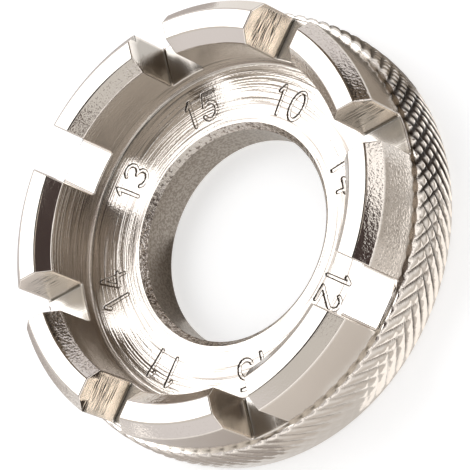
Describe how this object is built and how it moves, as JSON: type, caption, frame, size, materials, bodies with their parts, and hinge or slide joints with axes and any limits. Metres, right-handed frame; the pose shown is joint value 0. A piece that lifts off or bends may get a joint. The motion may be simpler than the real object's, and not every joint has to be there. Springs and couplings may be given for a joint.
{
  "type": "round spoke wrench",
  "caption": "Round nickel-plated steel spoke wrench: a knurled rim, a ring of jaws whose parallel slots fit nipple flats, a numbered web and a centre hole.",
  "frame": {"origin": "centre of the flat back face, where the tool lies on a bench", "axes": "+Z along the ring's axis, out of the face with the jaws; +X along the middle of the slot marked 12; +Y along the slot marked 10"},
  "size_m": [0.038, 0.038, 0.0105],
  "materials": {
    "nickel_plated_steel": "bright nickel plate over turned, milled and knurled steel"
  },
  "bodies": {
    "root": {"wrench_ring": "nickel_plated_steel"}
  },
  "joints": []
}
